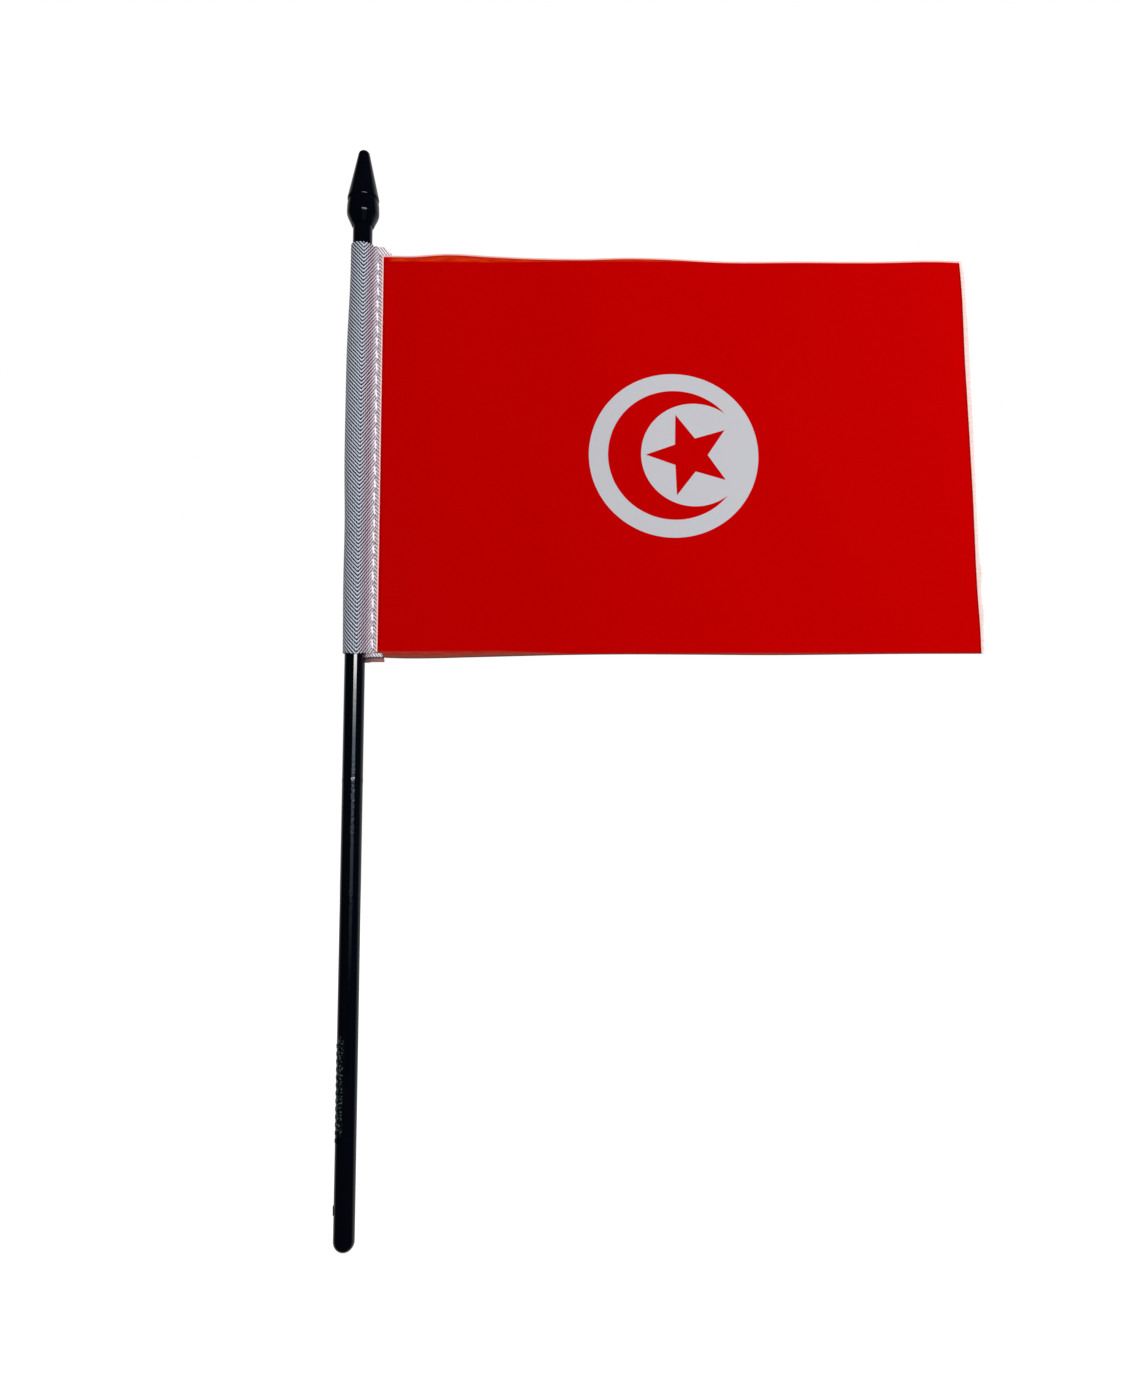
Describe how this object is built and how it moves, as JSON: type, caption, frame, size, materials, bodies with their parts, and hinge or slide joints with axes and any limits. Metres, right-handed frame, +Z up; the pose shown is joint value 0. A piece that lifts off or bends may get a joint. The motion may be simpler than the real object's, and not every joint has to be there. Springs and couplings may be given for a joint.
{
  "type": "stick flag",
  "caption": "Small desk or hand flag: printed cloth sewn into a woven sleeve that turns on a round moulded pole with a spear-shaped cap.",
  "frame": {"origin": "tip of the domed foot, on the pole's axis", "axes": "+Z up the pole towards the finial, +X from the pole to the cloth's free edge, -Y out of the front of the flag"},
  "size_m": [0.1605, 0.0082, 0.2731],
  "materials": {
    "black_plastic": "gloss",
    "white_band": "matte",
    "white_cloth": "matte",
    "white_thread": "satin",
    "red_print": "matte"
  },
  "bodies": {
    "pole": {"pole": "black_plastic", "finial": "black_plastic"},
    "hoist": {"hoist_sleeve": "white_band", "needle_thread": "white_thread", "bobbin_thread": "white_thread"},
    "cloth": {"flag_cloth": "white_cloth", "field_print_front": "red_print", "crescent_print_front": "red_print", "star_print_front": "red_print", "field_print_back": "red_print", "crescent_print_back": "red_print", "star_print_back": "red_print"}
  },
  "joints": [
    {"name": "flag_swivel", "type": "hinge", "parent": "pole", "child": "hoist", "pos_m": [0, 0, 0.19], "axis": [0, 0, 1], "continuous": true},
    {"name": "cloth_fold", "type": "hinge", "parent": "hoist", "child": "cloth", "pos_m": [0.0073, 0, 0.19], "axis": [0, 0, 1], "range_deg": [-60, 60], "deforming": ["flag_cloth", "field_print_front"]}
  ]
}
